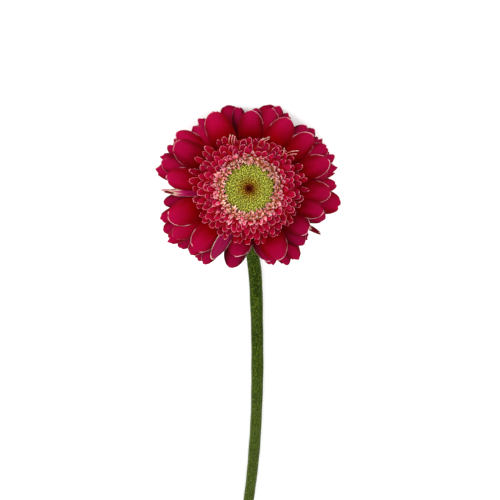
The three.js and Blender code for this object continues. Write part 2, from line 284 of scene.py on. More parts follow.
petalLook = {  # what the petal skins have in common
    "roughness": 0.7, "sheen": 0.03, "glow": 0.0, "sideShade": 0.85,
    "paintedSheenShare": 0.0, "paintedSheenColour": "#A82058", "edgeGaps": (0.44, 0.52),
}
rayLook = {**petalLook, "width": 9.4, "length": 24.0}
frillLook = {**petalLook, "width": 20.0, "length": 5.0, "edgeFrom": 0.76}
paleLook = {
    **petalLook, "width": 6.0, "length": 4.0, "glow": 0.4, "veins": 3.0, "veinDepth": 0.4,
    "edge": 0.16, "edgeFrom": 0.6, "relief": 0.00004,
}
rayTop = petalSkin("velvetPetalCrimson", {
    **rayLook, "roughness": 0.72, "sheen": 0.0, "pinkSheen": "#F02060", "sideShade": 0.62,
    # darkest at the root: partly the petal's own deep red and partly painted shade under the
    # frill
    "lengthwise": [
        (0.0, "#2C0000"), (0.45, "#5A0000"), (0.62, "#6C0000"), (0.78, "#760004"),
        (0.9, "#820014"), (1.0, "#880020"),
    ],
    "tintAndShadeColour": "#34000A", "veins": 15.0, "veinDepth": 0.25, "veinColour": "#4A0002",
    # painted sheen: a lighter, pinker middle towards the tip
    "paintedSheenShare": 0.65, "paintedSheenColour": "#94043A",
    "edge": 0.19, "edgeFrom": 0.9, "edgeColour": "#FFC4CC", "edgeGaps": (0.45, 0.51),
    "relief": 0.00007,
})
rayBack = petalSkin("petalUndersideMagenta", {
    **rayLook, "pinkSheen": "#F6609C",
    "lengthwise": [
        (0.0, "#C8BC98"), (0.12, "#C8A08C"), (0.3, "#B04A60"), (0.5, "#7E0434"),
        (1.0, "#70042C"),
    ],
    "tintAndShadeColour": "#94104A", "veins": 13.0, "veinDepth": 0.35, "veinColour": "#962450",
    "paintedSheenShare": 0.2,
    "edge": 0.3, "edgeFrom": 0.5, "edgeColour": "#F4D8C0", "edgeGaps": (0.3, 0.45),
    "relief": 0.0001,
})
rayRim = petalSkin("petalMarginCream", {
    **rayLook, "pinkSheen": "#F6A0B0", "sideShade": 1.0,
    "lengthwise": [(0.0, "#2C0006"), (0.8, "#4C000A"), (1.0, "#80202C")],
    "tintAndShadeColour": "#A8505A", "veins": 7.0, "veinDepth": 0.5, "veinColour": "#54000C",
    "edge": 0.3, "edgeFrom": 0.88, "edgeColour": "#FFD8DE", "edgeGaps": (0.45, 0.51),
    "relief": 0.00002,
})
frillTop = petalSkin("velvetFloretCrimson", {
    **frillLook, "roughness": 0.62, "pinkSheen": "#F02C60", "glow": 0.3,
    # lighter at the root than further out: painted light in the gaps between the florets and on
    # the cushion
    "lengthwise": [(0.0, "#A00810"), (0.35, "#8A0002"), (0.7, "#800002"), (1.0, "#860016")],
    "tintAndShadeColour": "#A40C34", "veins": 7.0, "veinDepth": 0.5, "veinColour": "#500004",
    "paintedSheenShare": 0.3, "paintedSheenColour": "#880434",
    "edge": 0.12, "edgeColour": "#FF8C9C", "relief": 0.00005,
})
frillBack = petalSkin("floretUndersideRose", {
    **frillLook, "pinkSheen": "#F66090", "glow": 0.3,
    "lengthwise": [(0.0, "#700410"), (0.3, "#780010"), (0.7, "#800018"), (1.0, "#980C30")],
    "tintAndShadeColour": "#B81C48", "veins": 5.0, "veinDepth": 0.3, "veinColour": "#981038",
    "edge": 0.1, "edgeColour": "#FF8C9C", "relief": 0.00005,
})
frillRim = petalSkin("floretMarginPink", {
    **frillLook, "pinkSheen": "#F6A0B0",
    "lengthwise": [(0.0, "#600008"), (0.7, "#780010"), (1.0, "#90102C")],
    "tintAndShadeColour": "#C03858", "veins": 3.0, "veinDepth": 0.3, "veinColour": "#A01030",
    "edge": 0.1, "edgeColour": "#FF9CAC", "relief": 0.00002,
})
paleTop = petalSkin("floretPaleRose", {
    **paleLook, "roughness": 0.68, "pinkSheen": "#FFA0B0",
    "lengthwise": [(0.0, "#A86034"), (0.35, "#C03C3C"), (0.7, "#D03458"), (1.0, "#EC849C")],
    "tintAndShadeColour": "#FFCCBC", "veinColour": "#A81034", "edgeColour": "#FFD4CC",
})
paleBack = petalSkin("floretPaleCream", {
    **paleLook, "pinkSheen": "#FFB8B8",
    "lengthwise": [(0.0, "#CCB450"), (0.35, "#CC9C4C"), (0.7, "#D87060"), (1.0, "#F094A4")],
    "tintAndShadeColour": "#FFD0B8", "veinColour": "#B81840", "edgeColour": "#FFD8C8",
})


def budSkin(name, stops):
    # Waxy young bud: matte skin, lighter at its tip as painted light, and darker in the cleft
    # beside its neighbours as painted shade.
    # The real grain is too fine to show, so it is drawn 0.4 mm wide.
    material, add = startMaterial(name, 0.6, Sheen_Weight=0.0, Specular_IOR_Level=0.04)
    fromCentre, tone, raised = (
        add("Attribute", output="Fac", attribute_name=kind)
        for kind in ("fromCentre", "tone", "raised")
    )
    grain = add("TexNoise", add("TexCoord", output="Object"), Scale=2400.0, Detail=2.0)
    wander = add("MapRange", grain, 0.3, 0.7, -0.03, 0.03, **soft)
    colour = add("ValToRGB", add("Math", fromCentre, wander, **plus), stops=stops)
    tipLightAndCleftShade = add("MapRange", raised, 0.1, 0.85, 0.68, 1.14, **soft)
    own = add("MapRange", tone, 0.0, 1.0, 0.8, 1.2, **soft)
    colour = add("HueSaturation", Value=add("Math", tipLightAndCleftShade, own, **times), Color=colour)
    relief = add("Bump", Strength=0.4, Distance=0.00005, Height=grain)
    return finishMaterial(material, colour, relief)


discSkin = budSkin("waxyBudGreen", [
    (0.0, "#3C0408"), (0.12, "#783010"), (0.2, "#A0741C"), (0.3, "#B4982C"), (0.42, "#BAAE40"),
    (0.6, "#BCBE4C"), (0.85, "#C0C04A"), (1.0, "#C8C056"),
])
centreSkin = budSkin("waxyBudMaroon", [
    (0.0, "#3C0408"), (0.07, "#54120A"), (0.13, "#7C2C10"), (0.21, "#98641A"), (1.0, "#905816"),
])


def stalkSkin(name, look):
    # Fresh green stalk: thin waxy skin over fine lengthwise ribs, softened by short white down,
    # which shows as a grey-green veil at the edges.
    material, add = startMaterial(
        name, 0.7, Sheen_Weight=look["down"], Sheen_Roughness=0.3,
        Sheen_Tint=hexColour("#A8B080"), Specular_IOR_Level=0.03,
    )
    place = add("TexCoord", output="Object")
    stretched = add("Mapping", place, Scale=look["stretch"])
    fibres = add("TexNoise", stretched, Scale=1.0, Detail=4.0, Roughness=0.6)
    patches = add("TexNoise", place, Scale=60.0, Detail=3.0)
    specks = add("TexNoise", place, Scale=1500.0, Detail=1.0)
    tone = add("Attribute", output="Fac", attribute_name="tone")
    colour = add("ValToRGB", patches, stops=look["patches"])
    for share, tint in (
        (add("MapRange", fibres, 0.35, 0.7, 0.0, 0.6, **soft), look["fibre"]),
        (add("MapRange", specks, 0.54, 0.68, 0.0, 0.75, **soft), look["speck"]),
        (add("MapRange", specks, 0.35, 0.46, 0.65, 0.0, **soft), look["grain"]),
        (add("Math", tone, 0.2, **times), "#667430"),
    ):
        colour = add("Mix", share, colour, hexColour(tint), **blended)
    relief = add("Bump", Strength=0.5, Distance=0.00012, Height=fibres)
    return finishMaterial(material, colour, relief)


stemSkin = stalkSkin("downyStemGreen", {
    "down": 0.65, "stretch": (1500.0, 60.0, 1500.0), "fibre": "#263800", "grain": "#101C00",
    "speck": "#62741E", "patches": [(0.3, "#1A2800"), (0.5, "#223200"), (0.7, "#2C3E00")],
})
cupSkin = stalkSkin("bractGreen", {
    "down": 0.12, "stretch": (900.0, 900.0, 900.0), "fibre": "#70843A", "grain": "#304010",
    "speck": "#90A060", "patches": [(0.3, "#4A6220"), (0.5, "#5C7430"), (0.7, "#6E7E3C")],
})
# Stem down: short pale hairs that scatter the light and let the green shine through.
downSkin = startMaterial(
    "stemDownWhite", 0.6, Sheen_Weight=0.3, Base_Color=hexColour("#8C9C58")
)[0]
# Pollen on the anthers: dry, dusty grains of orange and yellow, drawn 0.6 mm wide to show.
antherSkin, add = startMaterial("pollenOrange", 0.75)
pollen = add("TexNoise", add("TexCoord", output="Object"), Scale=1800.0)
pollenColours = [(0.3, "#9A5A18"), (0.55, "#D89A3C"), (0.75, "#F0C878")]
finishMaterial(antherSkin, add("ValToRGB", pollen, stops=pollenColours))
print("materials mixed")


def modelSheet(name, columns, rows):
    # a flat sheet, -1..1 wide and 0..1 long, with its columns packed closer near its sides
    deselectAll()
    bpy.ops.mesh.primitive_grid_add(x_subdivisions=columns, y_subdivisions=rows, size=2)
    sheet = bpy.context.object
    sheet.name = name
    editAll()
    bpy.ops.transform.translate(value=(0, 1, 0))
    bpy.ops.transform.resize(value=(1, 0.5, 1), center_override=(0, 0, 0))
    bpy.ops.mesh.flip_normals()
    bpy.ops.object.mode_set(mode="OBJECT")
    places = pointsOf(sheet)
    places[:, 0] = np.sin(places[:, 0] * math.pi / 2)
    sheet.data.vertices.foreach_set("co", places.ravel())
    corners = np.empty(len(sheet.data.loops), dtype=np.int32)
    sheet.data.loops.foreach_get("vertex_index", corners)
    spots = np.stack([(places[corners, 0] + 1) / 2, places[corners, 1]], axis=1)
    sheet.data.uv_layers[0].name = "UVMap"
    sheet.data.uv_layers["UVMap"].data.foreach_set("uv", spots.ravel())
    return sheet


def pathPoints(path, share):
    a, b, c, d = (np.array(point, dtype=float) for point in path)
    s = share[:, None]
    r = 1 - s
    place = r ** 3 * a + 3 * r * r * s * b + 3 * r * s * s * c + s ** 3 * d
    slope = r * r * (b - a) + 2 * r * s * (c - b) + s * s * (d - c)
    return place, slope / np.linalg.norm(slope, axis=1)[:, None]


def bendSheet(sheet, shape):
    # lays one flat sheet along a floret's path, with its outline, dome, fold, grooves and roll
    u, v = pointsOf(sheet)[:, :2].T  # from side to side, and from root to tip
    rim = np.sqrt(np.clip(1 - u * u, 0, 1))
    end = 1 - shape["setback"] * (1 - rim)
    end = end - shape["notch"] * np.exp(-(((u - shape["notchAt"]) / 0.12) ** 2))
    for tooth in (-0.33, 0.33):
        end = end - shape["teeth"] * np.exp(-(((u - tooth) / 0.1) ** 2))
    start = shape["start"]
    along = start + v * (end - start)
    place, heading = pathPoints(shape["path"], along)
    spread = shape["claw"] + (1 - shape["claw"]) * smoothStep(along, 0, shape["full"])
    spread = spread * (1 - shape["taper"] * smoothStep(along, 0.7, 1))
    arc = max(abs(shape["fold"]), 0.01) * smoothStep(along, 0.0, 0.5) + 0.001
    width = shape["half"] * spread
    sideways = width * np.sin(arc * u) / arc
    rise = math.copysign(1, shape["fold"]) * width * (1 - np.cos(arc * u)) / arc
    rise = rise - shape["dome"] * u * u * spread
    body = smoothStep(along, 0.1, 0.4) * (1 - smoothStep(along, 0.8, 1.0))
    for groove in (-0.36, 0.36):
        rise = rise - shape["groove"] * body * np.exp(-(((u - groove) / 0.13) ** 2))
    phase = shape["phase"]
    wave = np.sin(along * 13 + phase) + 0.6 * np.sin(along * 23 + 2 * phase + u * 2)
    rise = rise + shape["ripple"] * wave * u * u * smoothStep(along, 0.35, 0.8)
    rise = rise + shape["curl"] * smoothStep(along, 0.75, 1.0) ** 2
    reach = np.clip(along, 0, 1)
    roll = shape["roll"] * reach + shape["twist"] * smoothStep(along, 0.0, 0.4)
    across = sideways * np.cos(roll) - rise * np.sin(roll) + shape["sway"] * reach ** 2
    outward = sideways * np.sin(roll) + rise * np.cos(roll)
    radius = place[:, 0] - heading[:, 1] * outward
    height = place[:, 1] + heading[:, 0] * outward
    cos, sin = math.cos(shape["azimuth"]), math.sin(shape["azimuth"])
    points = np.stack([radius * cos - across * sin, radius * sin + across * cos, height], axis=1)
    above = headHeight - points[:, 1] * math.sin(tilt) + points[:, 2] * math.cos(tilt)
    lift = np.clip(shape["clearance"] - above, 0, None)
    points[:, 1] -= lift * math.sin(tilt)
    points[:, 2] += lift * math.cos(tilt)
    matrix = np.array(headMatrix)
    points = points @ matrix[:3, :3].T + matrix[:3, 3]
    sheet.data.vertices.foreach_set("co", points.ravel())


plainShape = {  # a floret where nothing else is said
    "start": -0.2,  # where it starts, as a share of its path; below 0 it is sunk in its cup
    "claw": 0.5, "full": 0.55,  # its width at the root, and how far out it is at its widest
    "taper": 0.1, "setback": 0.23,  # how much it narrows, and how round its tip is
    "teeth": 0.0, "notch": 0.0, "notchAt": 0.0,  # cuts in the tip
    "fold": -0.45, "roll": 0.0, "twist": 0.0, "phase": 0.0,  # radians
    "dome": 0.6, "groove": 0.08, "ripple": 0.14, "curl": 0.0, "sway": 0.0,  # mm
    "clearance": 0.6,  # mm that it keeps from the surface it lies on
}


def thicken(piece, thickness, materials):
    for material in materials:
        piece.data.materials.append(material)
    applyModifier(
        piece, "SOLIDIFY", thickness=thickness * mm, offset=-1, use_even_offset=False,
        material_offset=1, material_offset_rim=2,
    )
    shadeSmooth(piece, 60)


rays = {
    "thickness": 0.28,
    "columns": 14,
    "rows": 26,
    "sway": 0.8, "curl": 0.5,  # mm by which the petals' tips differ
    "toneSpread": 0.4,
    "plain": 0.35, "plainSpread": 0.6,
    # "path" is a rank's way from root to tip, as radius and height pairs, the upper rank first;
    # its third radius is a share of the petal's reach, and the last is the tip's height alone
    # a rank's "tone" is lower the lower the rank lies: painted shade under the ranks above
    "ranks": [
        {"path": ((11.6, 12.3), (15.5, 13.8), (0.76, 15.0), 10.0),
         "notch": 0.03, "teeth": 0.02, "tone": 0.4},
        {"path": ((11.6, 11.5), (15.5, 12.7), (0.76, 12.8), 7.2),
         "notch": 0.03, "teeth": 0.02, "tone": 0.25},
        {"path": ((11.6, 10.7), (15.5, 11.5), (0.76, 10.6), 5.0),
         "notch": 0.06, "teeth": 0.08, "tone": 0.1},
        {"path": ((11.6, 10.0), (15.5, 10.3), (0.76, 8.5), 3.2),
         "notch": 0.06, "teeth": 0.08, "tone": 0.05},
    ],
    # azimuth, reach, half width, rank, roll, droop, then what sets a petal apart; "dark" lays
    # painted shade over its outer part, "fade" dries its tip, and a petal with plain 1 has no
    # pale margin; a "tone" of its own is partly painted light and shade
    "petals": [
        (88.5, 29.5, 4.9, 1, 3, 0, {"tone": 0.4, "plain": 0.3}),
        (60, 30.4, 5.1, 1, -4, 0, {"tone": 0.7, "plain": 0.4}),
        (39.5, 31.6, 4.5, 1, 6, 0.3, {"tone": 0.65, "plain": 0.2}),
        (19.5, 32.0, 4.6, 1, -5, 0, {"tone": 0.6, "plain": 0.2}),
        (-3, 31.2, 4.4, 1, 8, 0.4, {"tone": 0.6}),
        (-17, 29.6, 4.3, 1, -6, -0.3, {"notch": 0.05, "groove": 0.3, "plain": 0.0}),
        (-37.5, 27.8, 5.0, 1, 5, 0, {"tone": 0.35, "plain": 0.0, "dark": 0.2}),
        (-66, 29.3, 5.4, 1, -3, 0.5, {"tone": 0.8, "plain": 0.2}),
        (-100, 26.2, 5.0, 1, 4, 0, {"notch": 0.02, "tone": 0.2, "plain": 0.0}),
        (-131.5, 31.2, 5.1, 1, -6, 0, {"tone": 0.9, "plain": 0.0}),
        (-160, 32.5, 5.3, 1, 4, 0.3, {"tone": 0.85, "plain": 0.2}),
        (172, 31.6, 4.6, 1, -5, 0, {"tone": 0.7, "plain": 0.4}),
        (149, 32.7, 5.2, 1, 5, 0.3, {"notch": 0.02, "notchAt": 0.3, "tone": 0.35}),
        (117.5, 31.9, 5.3, 1, -3, 0, {"tone": 0.8}),
        (73.5, 31.6, 4.4, 2, 5, 0, {}),
        (47.5, 32.2, 4.2, 2, -6, 0, {"tone": 0.1, "dark": 0.5}),
        (28, 33.8, 4.2, 2, 5, 0.3, {}),
        (12, 30.6, 4.2, 2, 10, 0, {}),
        (-21.5, 31.4, 4.2, 2, 6, 0, {"dark": 0.3}),
        (-46, 29.8, 4.3, 2, -8, 0, {"tone": 0.1, "dark": 0.5}),
        (-75.5, 28.6, 4.4, 2, 7, 0, {"plain": 0.1, "dark": 0.7}),
        (-99.3, 31.1, 4.6, 2, -5, 0, {
            "tone": 0.1, "sway": -1.6, "plain": 0.1, "dome": 1.1, "dark": 0.6,
        }),
        (-113.5, 30.0, 3.0, 1, 0, -0.6, {
            "fold": 1.1, "twist": 2.9, "taper": 0.35, "sway": -2.2, "tone": 0.6, "plain": 0.35,
        }),
        (-148, 34.1, 4.4, 2, 6, 0, {"tone": 0.75}),
        (-173, 33.3, 1.6, 2, 0, -1.8, {
            "fold": 1.2, "twist": -2.8, "taper": 0.3, "sway": -3.4, "notch": 0.1, "fade": 1.0,
        }),
        (163, 34.7, 4.2, 2, 5, 0, {}),
        (142, 34.8, 4.3, 2, -6, 0, {}),
        (131, 30.8, 4.2, 2, 4, 0, {"tone": 0.5}),
        (104, 34.5, 4.4, 4, 0, 1.6, {"clearance": 0.28}),
        (98, 31.4, 3.2, 3, -5, 0, {"dark": 0.6}),
        (85, 30.6, 3.3, 3, 6, 0, {"dark": 0.6}),
        (76.5, 34.7, 4.2, 4, 0, 1.4, {"clearance": 0.28, "tone": 0.95}),
        (69, 33.5, 3.5, 3, 5, 0, {}),
        (63.5, 32.4, 3.3, 4, -6, 0, {}),
        (41.5, 33.7, 3.5, 3, 5, 0, {"tone": 0.1, "dark": 0.4}),
        (34, 34.1, 3.4, 4, -4, 0, {"tone": 0.3}),
        (20.5, 34.9, 3.6, 3, 7, 0, {}),
        (13.5, 34.8, 3.4, 4, -5, 0, {"tone": 0.9}),
        (2, 33.4, 3.4, 3, 6, 0, {"tone": 0.7}),
        (-9.5, 36.0, 5.0, 4, -4, 0, {"notch": 0.05, "setback": 0.2, "tone": 0.95}),
        (-33, 32.8, 1.5, 3, 0, -1.5, {
            "fold": 1.3, "twist": 2.7, "taper": 0.3, "notch": 0.1, "fade": 2.0,
        }),
        (-41, 29.8, 3.4, 4, 4, 0, {"tone": 0.0}),
        (-55, 33.3, 3.5, 3, -5, 0, {}),
        (-63, 33.1, 3.4, 4, 6, 0, {}),
        (-72, 30.9, 3.4, 3, -4, 0, {}),
        (-94, 25.2, 3.0, 4, 4, 0, {"tone": 0.0}),
        (-121.5, 33.7, 3.4, 3, 8, 0, {}),
        (-126, 34.3, 3.3, 4, -5, 0, {}),
        (-132, 34.2, 3.5, 3, 6, 0, {"tone": 0.6}),
        (-139.5, 35.5, 3.5, 4, -6, 0, {}),
        (-146.5, 37.4, 3.5, 3, 5, 0, {"tone": 0.6}),
        (-153.5, 37.3, 3.4, 4, -5, 0, {}),
        (-160.5, 36.2, 3.4, 3, 6, 0, {}),
        (-170, 33.3, 3.3, 4, -5, 0, {"dark": 0.5}),
        (168.5, 36.6, 3.6, 3, 5, 0, {}),
        (160.5, 36.4, 3.4, 4, -6, 0, {}),
        (153, 35.1, 3.3, 3, 5, 0, {}),
        (147, 34.7, 3.3, 4, -4, 0, {}),
        (131.5, 32.2, 3.2, 4, 8, 0, {}),
        (125.5, 33.0, 3.4, 3, -6, 0, {}),
        (115, 32.9, 3.3, 4, 5, 0, {}),
    ],
}


def buildRays():
    sheet = modelSheet("rayPetals", rays["columns"], rays["rows"])
    petals = []
    for index, (azimuth, reach, half, rank, roll, droop, extra) in enumerate(rays["petals"]):
        kind = rays["ranks"][rank - 1]
        root, first, second, tipHeight = kind["path"]
        petal = copyOf(sheet)
        bendSheet(petal, {
            **plainShape,
            "azimuth": math.radians(azimuth),
            "path": (root, first, (second[0] * reach, second[1]), (reach, tipHeight - droop)),
            "half": half,
            "roll": math.radians(roll),
            "phase": 6.28 * scatter(index, 1),
            "notch": kind["notch"] * scatter(index, 2),
            "notchAt": scatter(index, 3) - 0.5,
            "teeth": kind["teeth"] * scatter(index, 7),
            "sway": rays["sway"] * (scatter(index, 4) - 0.5),
            "curl": rays["curl"] * (scatter(index, 5) - 0.5),
            **extra,
        })
        tone = kind["tone"] + rays["toneSpread"] * scatter(index, 6)
        plain = rays["plain"] + rays["plainSpread"] * scatter(index, 8)
        setTone(petal, extra.get("tone", tone))
        setTone(petal, extra.get("fade", 0.0), "fade")
        setTone(petal, extra.get("dark", 0.0), "inner")
        setTone(petal, extra.get("plain", plain), "plain")
        petals.append(petal)
    bpy.data.objects.remove(sheet)
    whole = joined(petals, "rayPetals")
    thicken(whole, rays["thickness"], (rayTop, rayBack, rayRim))
    finishPiece(whole, "ray_florets")


frill = {
    "thickness": 0.12,
    "columns": 6,
    "rows": 8,
    "scatter": {"turn": 0.7, "reach": 1.4, "rise": 0.6, "roll": 0.5, "sway": 1.4, "shift": 0.5},
    "shape": {
        "start": 0.0, "claw": 0.7, "full": 0.6, "setback": 0.32, "taper": 0.0, "dome": 0.0,
        "groove": 0.05, "ripple": 0.04,
    },
    "fold": (-0.25, 0.75),
    "inner": lambda ring, chance: min(1.0, (ring / 3) ** 1.2 + 0.25 * chance),
    # how much further out the outer florets reach, mm, by degrees round the head
    "reachAt": ([0, 25, 60, 95, 112, 140, 156, 180, 212, 240, 282, 321, 360],
                [0.9, 0.4, -1.6, -1.8, -0.3, 1.8, 2.9, 0.8, 0.0, 0.1, 0.5, -1.0, 0.9]),
    "reachShares": (1.0, 0.3, 0.1, 0.0),
    # painted light: the florets at the lower left are made lighter
    "paintedLight": 0.1,  # how much lighter the florets are at the lower left than all round
    # count, half width and path, as radius and height pairs from root to tip
    "rings": [
        (40, 1.3, ((16.2, 14.8), (17.0, 16.2), (18.7, 16.8), (20.8, 16.6))),
        (42, 1.3, ((14.6, 15.7), (15.2, 17.2), (16.8, 18.0), (18.9, 18.0))),
        (38, 1.2, ((13.2, 16.5), (13.6, 18.0), (14.9, 18.9), (16.9, 19.0))),
        (38, 1.1, ((12.4, 16.8), (12.5, 18.2), (13.2, 19.2), (14.8, 19.5))),
    ],
    # the ring under the florets: radius and height pairs
    "cushion": [
        (12.0, 13.5), (14.8, 13.9), (17.2, 14.1), (18.4, 15.8), (17.2, 17.2), (15.4, 18.2),
        (13.8, 18.7), (12.2, 18.2),
    ],
}
pale = {
    "thickness": 0.12,
    "columns": 4,
    "rows": 6,
    "scatter": {"turn": 1.2, "reach": 1.9, "rise": 0.7, "roll": 0.8, "sway": 1.0, "shift": 1.4},
    "shape": {
        "start": 0.0, "claw": 0.8, "full": 0.4, "setback": 0.9, "taper": 0.5, "dome": 0.0,
        "groove": 0.0, "ripple": 0.03,
    },
    "fold": (0.1, 1.0),
    "inner": lambda ring, chance: (chance > 0.6) * chance * min(1.0, 0.4 + 0.15 * ring),
    "reachAt": ([0, 40, 90, 200, 300, 360], [-0.7, -1.0, -0.3, 0.9, 0.2, -0.7]),
    "reachShares": (1.0, 0.9, 0.6, 0.3, 0.0, 0.0, 0.0, 0.0),
    # painted light at the lower left
    "paintedLight": 0.25,
    # count, half width and path, as radius and height pairs from root to tip
    "rings": [
        (40, 0.95, ((12.0, 16.8), (12.1, 18.2), (12.6, 19.1), (13.6, 19.4))),
        (42, 0.85, ((11.6, 16.8), (11.7, 18.0), (12.1, 18.9), (12.8, 19.3))),
        (46, 0.75, ((11.2, 16.6), (11.2, 17.8), (11.5, 18.7), (12.0, 19.1))),
        (50, 0.65, ((10.8, 16.4), (10.8, 17.6), (10.8, 18.5), (11.1, 18.9))),
        (46, 0.6, ((10.9, 16.6), (11.1, 17.8), (10.8, 18.6), (10.3, 18.9))),
        (50, 0.5, ((10.6, 16.4), (10.6, 17.5), (10.2, 18.3), (9.7, 18.5))),
        (46, 0.45, ((10.3, 16.2), (10.3, 17.4), (9.9, 18.1), (9.1, 18.2))),
        (36, 0.4, ((10.0, 16.2), (9.9, 17.2), (9.5, 17.8), (8.7, 17.9))),
    ],
    "cushion": [(9.2, 12.5), (11.8, 13.2), (12.6, 16.8), (12.0, 17.6), (10.8, 17.4), (9.8, 16.8)],
}


def turnedBody(name, profile, sides):
    # a closed ring or dome, drawn from its lowest inner point and pulled up step by step
    deselectAll()
    radius, height = profile[0]
    bpy.ops.mesh.primitive_circle_add(vertices=sides, radius=radius, location=(0, 0, height))
    body = bpy.context.object
    body.name = name
    editAll()
    for nextRadius, nextHeight in [*profile[1:], profile[0]]:
        step = {"value": (0, 0, nextHeight - height)}
        bpy.ops.mesh.extrude_edges_move(TRANSFORM_OT_translate=step)
        grow = nextRadius / radius
        bpy.ops.transform.resize(value=(grow, grow, 1), center_override=(0, 0, nextHeight))
        radius, height = nextRadius, nextHeight
    bpy.ops.mesh.select_all(action="SELECT")
    bpy.ops.mesh.remove_doubles(threshold=0.0005)
    bpy.ops.mesh.normals_make_consistent(inside=False)
    bpy.ops.object.mode_set(mode="OBJECT")
    body.data.transform(Matrix.Translation(body.location))
    body.location = (0, 0, 0)
    body.data.transform(headMatrix)
    return body


strays = {
    "thickness": 0.1,
    "columns": 4,
    "rows": 12,
    "arch": 0.8,  # mm by which they rise above the line from root to tip
    "shape": {
        "start": 0.0, "claw": 0.8, "full": 0.3, "setback": 0.1, "dome": 0.0, "fold": 0.6,
        "groove": 0.0, "ripple": 0.0,
    },
    # azimuth, root, tip (radius and height of each), half width, sideways sweep, curl
    "florets": [
        (114, (17.4, 17.6), (20.9, 18.2), 0.08, -1.8, 0.3),
        (111, (17.2, 17.6), (20.5, 18.4), 0.075, -1.6, 0.3),
        (108, (17.0, 17.8), (19.9, 18.2), 0.07, -1.1, 0.2),
        (78, (16.6, 17.8), (20.0, 18.4), 0.08, -3.5, 0.4),
        (76.3, (17.6, 18.0), (19.2, 18.6), 0.07, -0.7, 0.2),
        (72, (17.4, 18.0), (19.6, 18.6), 0.07, -1.4, 0.2),
        (44.5, (16.8, 17.8), (19.7, 18.4), 0.08, 1.65, 0.3),
        (42.9, (18.4, 17.4), (22.8, 17.0), 0.09, -2.3, 0.3),
        (40.5, (18.4, 17.2), (21.6, 17.2), 0.075, -1.8, 0.3),
    ],
}


def buildStrays():
    sheet = modelSheet("strayFlorets", strays["columns"], strays["rows"])
    florets = []
    for azimuth, root, tip, half, sweep, curl in strays["florets"]:
        floret = copyOf(sheet)
        rise = 0.5 * (root[1] + tip[1]) + strays["arch"]
        first, second = (root[0] + share * (tip[0] - root[0]) for share in (0.3, 0.7))
        bendSheet(floret, {
            **plainShape,
            **strays["shape"],
            "azimuth": math.radians(azimuth),
            "path": (root, (first, rise), (second, rise), tip),
            "half": half, "sway": sweep, "curl": curl,
        })
        setTone(floret, 0.4)
        setTone(floret, 0.6, "inner")
        florets.append(floret)
    bpy.data.objects.remove(sheet)
    whole = joined(florets, "strayFlorets")
    thicken(whole, strays["thickness"], (paleTop, paleBack, paleBack))
    finishPiece(whole, None)


def buildFlorets(kit, name, node, skins, index):
    sheet = modelSheet(name, kit["columns"], kit["rows"])
    florets = []
    for number, (count, half, ringPath) in enumerate(kit["rings"]):
        for place in range(count):
            spread = {
                key: size * (scatter(index, channel) - 0.5)
                for channel, (key, size) in enumerate(kit["scatter"].items(), 20)
            }
            turn = (place + 0.618 * number + spread["turn"]) / count
            path = [(radius + spread["shift"], height) for radius, height in ringPath]
            further = kit["reachShares"][number] * np.interp(turn * 360 % 360, *kit["reachAt"])
            path[2] = (path[2][0] + 0.5 * further, path[2][1])
            path[3] = (path[3][0] + spread["reach"] + further, path[3][1] + spread["rise"])
            low, high = kit["fold"]
            floret = copyOf(sheet)
            bendSheet(floret, {
                **plainShape,
                **kit["shape"],
                "azimuth": turn * fullTurn,
                "path": path,
                "half": half * (0.75 + 0.4 * scatter(index, 2)),
                "roll": spread["roll"],
                "sway": spread["sway"],
                "fold": low + (high - low) * scatter(index, 5),
                "notch": 0.06 * scatter(index, 6),
                "notchAt": 0.6 * (scatter(index, 9) - 0.5),
                "phase": 6.28 * scatter(index, 4),
            })
            # painted light on the florets at the lower left
            paintedLight = kit["paintedLight"] * math.cos(turn * fullTurn - paintedLightSide)
            setTone(floret, 0.1 + paintedLight + 0.75 * scatter(index, 11))
            setTone(floret, kit["inner"](number, scatter(index, 15)), "inner")
            florets.append(floret)
            index += 1
    bpy.data.objects.remove(sheet)
    whole = joined(florets, name)
    thicken(whole, kit["thickness"], skins)
    cushion = turnedBody(name + "Cushion", kit["cushion"], 48)
    for skin in skins:
        cushion.data.materials.append(skin)
    setTone(cushion, 0.5)  # its texture places are all 0, so it has the colour of petal roots
    shadeSmooth(cushion)
    finishPiece(joined([whole, cushion], name), node)


buildRays()
frillSkins = (frillTop, frillBack, frillRim)
paleSkins = (paleTop, paleBack, paleBack)
buildFlorets(frill, "frillFlorets", "frill_florets", frillSkins, 100)
buildFlorets(pale, "paleFlorets", "pale_florets", paleSkins, 500)
buildStrays()
print("petals bent")


disc = {
    "count": 900,
    "inner": 1.7, "outer": 9.7,  # radii between which the buds stand, mm
    "size": 0.29, "budLength": 1.9, "pinch": 0.35,  # half width in mm, then shares of it
    "height": 17.15,
    "rimFrom": 6.6, "rimDrop": 0.9,  # the radius from which the disc falls off, and how much
    "dimple": 0.75, "dimpleRadius": 4.2,
    "sunk": 0.3, "leanOut": 0.1,
    "scatter": {"radius": 0.6, "turn": 0.7, "lean": 0.7, "rise": 0.4},
    # the core under the buds: radius and height pairs
    "core": [
        (0.01, 11.3), (6.6, 11.3), (8.9, 13.2), (9.1, 15.0), (8.5, 16.0), (6.6, 16.4),
        (4.0, 16.2), (2.4, 15.8), (0.01, 15.6),
    ],
}


def discHeight(radius):
    rim = disc["rimDrop"] * max(0.0, (radius - disc["rimFrom"]) / 2) ** 2
    dimple = disc["dimple"] * max(0.0, 1 - radius / disc["dimpleRadius"])
    return disc["height"] - rim - dimple


